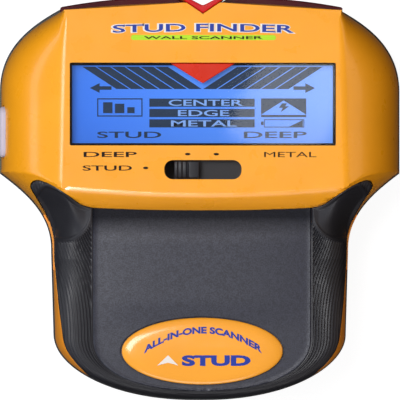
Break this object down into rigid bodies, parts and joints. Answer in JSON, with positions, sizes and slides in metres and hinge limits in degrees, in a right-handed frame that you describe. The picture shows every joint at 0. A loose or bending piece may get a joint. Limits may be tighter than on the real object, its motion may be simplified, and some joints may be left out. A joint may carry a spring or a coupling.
{
  "type": "stud finder",
  "caption": "Handheld electronic stud finder with a wide display head, a mode slide switch, a rubber grip handle with an oval badge, and a V notch with a red light window.",
  "frame": {"origin": "middle of the bounding box, on the surface that the glide pads rest on", "axes": "+Z out of the display face, +Y towards the notch, +X to the right with the display facing the viewer"},
  "size_m": [0.0824, 0.0828, 0.033],
  "materials": {
    "yellow_abs": "satin moulded",
    "black_abs": "fine spark texture",
    "door_plastic": "fine spark texture",
    "rubber_black": "moulded, matte",
    "panel_black": "coarse spark texture",
    "slider_grey": "textured",
    "button_grey": "smooth",
    "red_lens": "clear red, tinted dark",
    "red_light_guide": "clear red",
    "pointer_red": "glossy",
    "window_clear": "clear acrylic, glossy",
    "foam_black": "closed cell foam",
    "lcd_blue": "backlit blue",
    "backlight_white": "diffusing",
    "holder_white": "moulded",
    "zebra_pink": "elastomer connector",
    "board_green": "solder mask",
    "chip_black": "epoxy",
    "led_red": "clear",
    "pipe_clear": "clear",
    "copper": "bare copper",
    "steel": "zinc plated",
    "nylon_white": "moulded",
    "battery_case": "printed can",
    "wire_insulation": "soft PVC",
    "pad_grey": "low friction plastic",
    "label_silver": "printed film",
    "badge_orange": "domed resin"
  },
  "bodies": {
    "casing": {"back_shell": "black_abs", "front_shell": "yellow_abs", "glide_pads": "pad_grey", "rear_label": "label_silver", "arrow_window": "red_lens", "notch_light_guide": "red_light_guide", "center_pointer": "pointer_red", "lcd_window": "window_clear", "lcd_gasket": "foam_black", "lcd_glass": "lcd_blue", "lcd_backlight": "backlight_white", "lcd_holder": "holder_white", "zebra_strips": "zebra_pink", "main_pcb": "board_green", "microcontroller": "chip_black", "driver_chips": "chip_black", "buzzer": "chip_black", "arrow_leds": "led_red", "led_light_pipe": "pipe_clear", "board_connector": "chip_black", "sensor_board": "board_green", "sensor_plates": "copper", "metal_coil": "copper", "slide_switch_body": "steel", "power_tact_switch": "steel", "rubber_grip": "rubber_black", "grip_panel": "panel_black", "badge": "badge_orange", "battery_9v": "battery_case", "battery_terminals": "steel", "battery_snap": "chip_black", "battery_leads": "wire_insulation", "battery_foam": "foam_black", "shell_screws": "steel", "pcb_screws": "steel"},
    "mode_switch": {"slide_switch_knob": "slider_grey", "slide_switch_shutter": "slider_grey", "slide_switch_lever": "nylon_white"},
    "power_button": {"power_button": "button_grey"},
    "battery_door": {"battery_door": "door_plastic"}
  },
  "joints": [
    {"name": "mode_slide", "type": "slide", "parent": "casing", "child": "mode_switch", "axis": [1, 0, 0], "range_m": [0, 0.0052]},
    {"name": "power_press", "type": "slide", "parent": "casing", "child": "power_button", "axis": [1, 0, 0], "range_m": [0, 0.0007], "stiffness_N_per_m": 300},
    {"name": "door_slide", "type": "slide", "parent": "casing", "child": "battery_door", "axis": [0, -1, 0], "range_m": [0, 0.009]}
  ]
}
